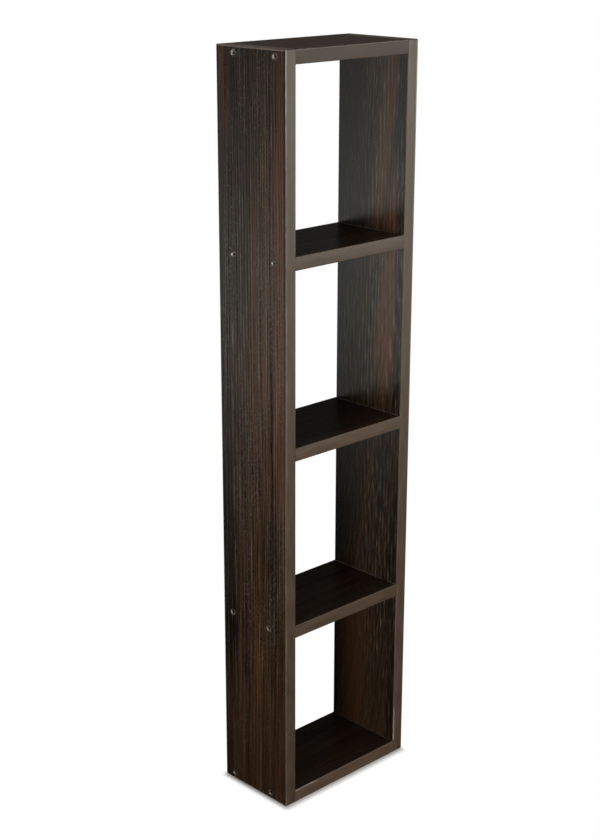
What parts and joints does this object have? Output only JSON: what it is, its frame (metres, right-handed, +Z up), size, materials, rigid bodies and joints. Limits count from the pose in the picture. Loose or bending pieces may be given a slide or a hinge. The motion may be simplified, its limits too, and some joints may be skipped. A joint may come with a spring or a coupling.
{
  "type": "open book rack",
  "caption": "Tall, narrow open rack of dark wood-grain board: full-height sides with shelves screwed between them, open at front and back, brown edge bands, for books stood upright.",
  "frame": {"origin": "on the floor, under the middle of the rack", "axes": "+X to the right seen from the front, the front faces -Y, +Z up"},
  "size_m": [0.236, 0.125, 1.03],
  "materials": {
    "side_laminate": "dark wood-grain laminate on particle board, grain upright, satin",
    "shelf_laminate": "dark wood-grain laminate on particle board, grain along the board, satin",
    "edge_band": "plain brown plastic edge band, satin",
    "screw_zinc": "bright zinc plating",
    "dowel_wood": "plain beech"
  },
  "bodies": {
    "root": {"bottom_panel": "shelf_laminate", "bottom_panel_back_band": "edge_band", "bottom_panel_front_band": "edge_band", "bottom_panel_screws": "screw_zinc", "left_side_back_band": "edge_band", "left_side_bottom_band": "edge_band", "left_side_front_band": "edge_band", "left_side_panel": "side_laminate", "left_side_top_band": "edge_band", "lower_shelf": "shelf_laminate", "lower_shelf_back_band": "edge_band", "lower_shelf_front_band": "edge_band", "lower_shelf_screws": "screw_zinc", "middle_shelf": "shelf_laminate", "middle_shelf_back_band": "edge_band", "middle_shelf_dowels": "dowel_wood", "middle_shelf_front_band": "edge_band", "right_side_back_band": "edge_band", "right_side_bottom_band": "edge_band", "right_side_front_band": "edge_band", "right_side_panel": "side_laminate", "right_side_top_band": "edge_band", "top_panel": "shelf_laminate", "top_panel_back_band": "edge_band", "top_panel_front_band": "edge_band", "top_panel_screws": "screw_zinc", "upper_shelf": "shelf_laminate", "upper_shelf_back_band": "edge_band", "upper_shelf_front_band": "edge_band", "upper_shelf_screws": "screw_zinc"}
  },
  "joints": []
}
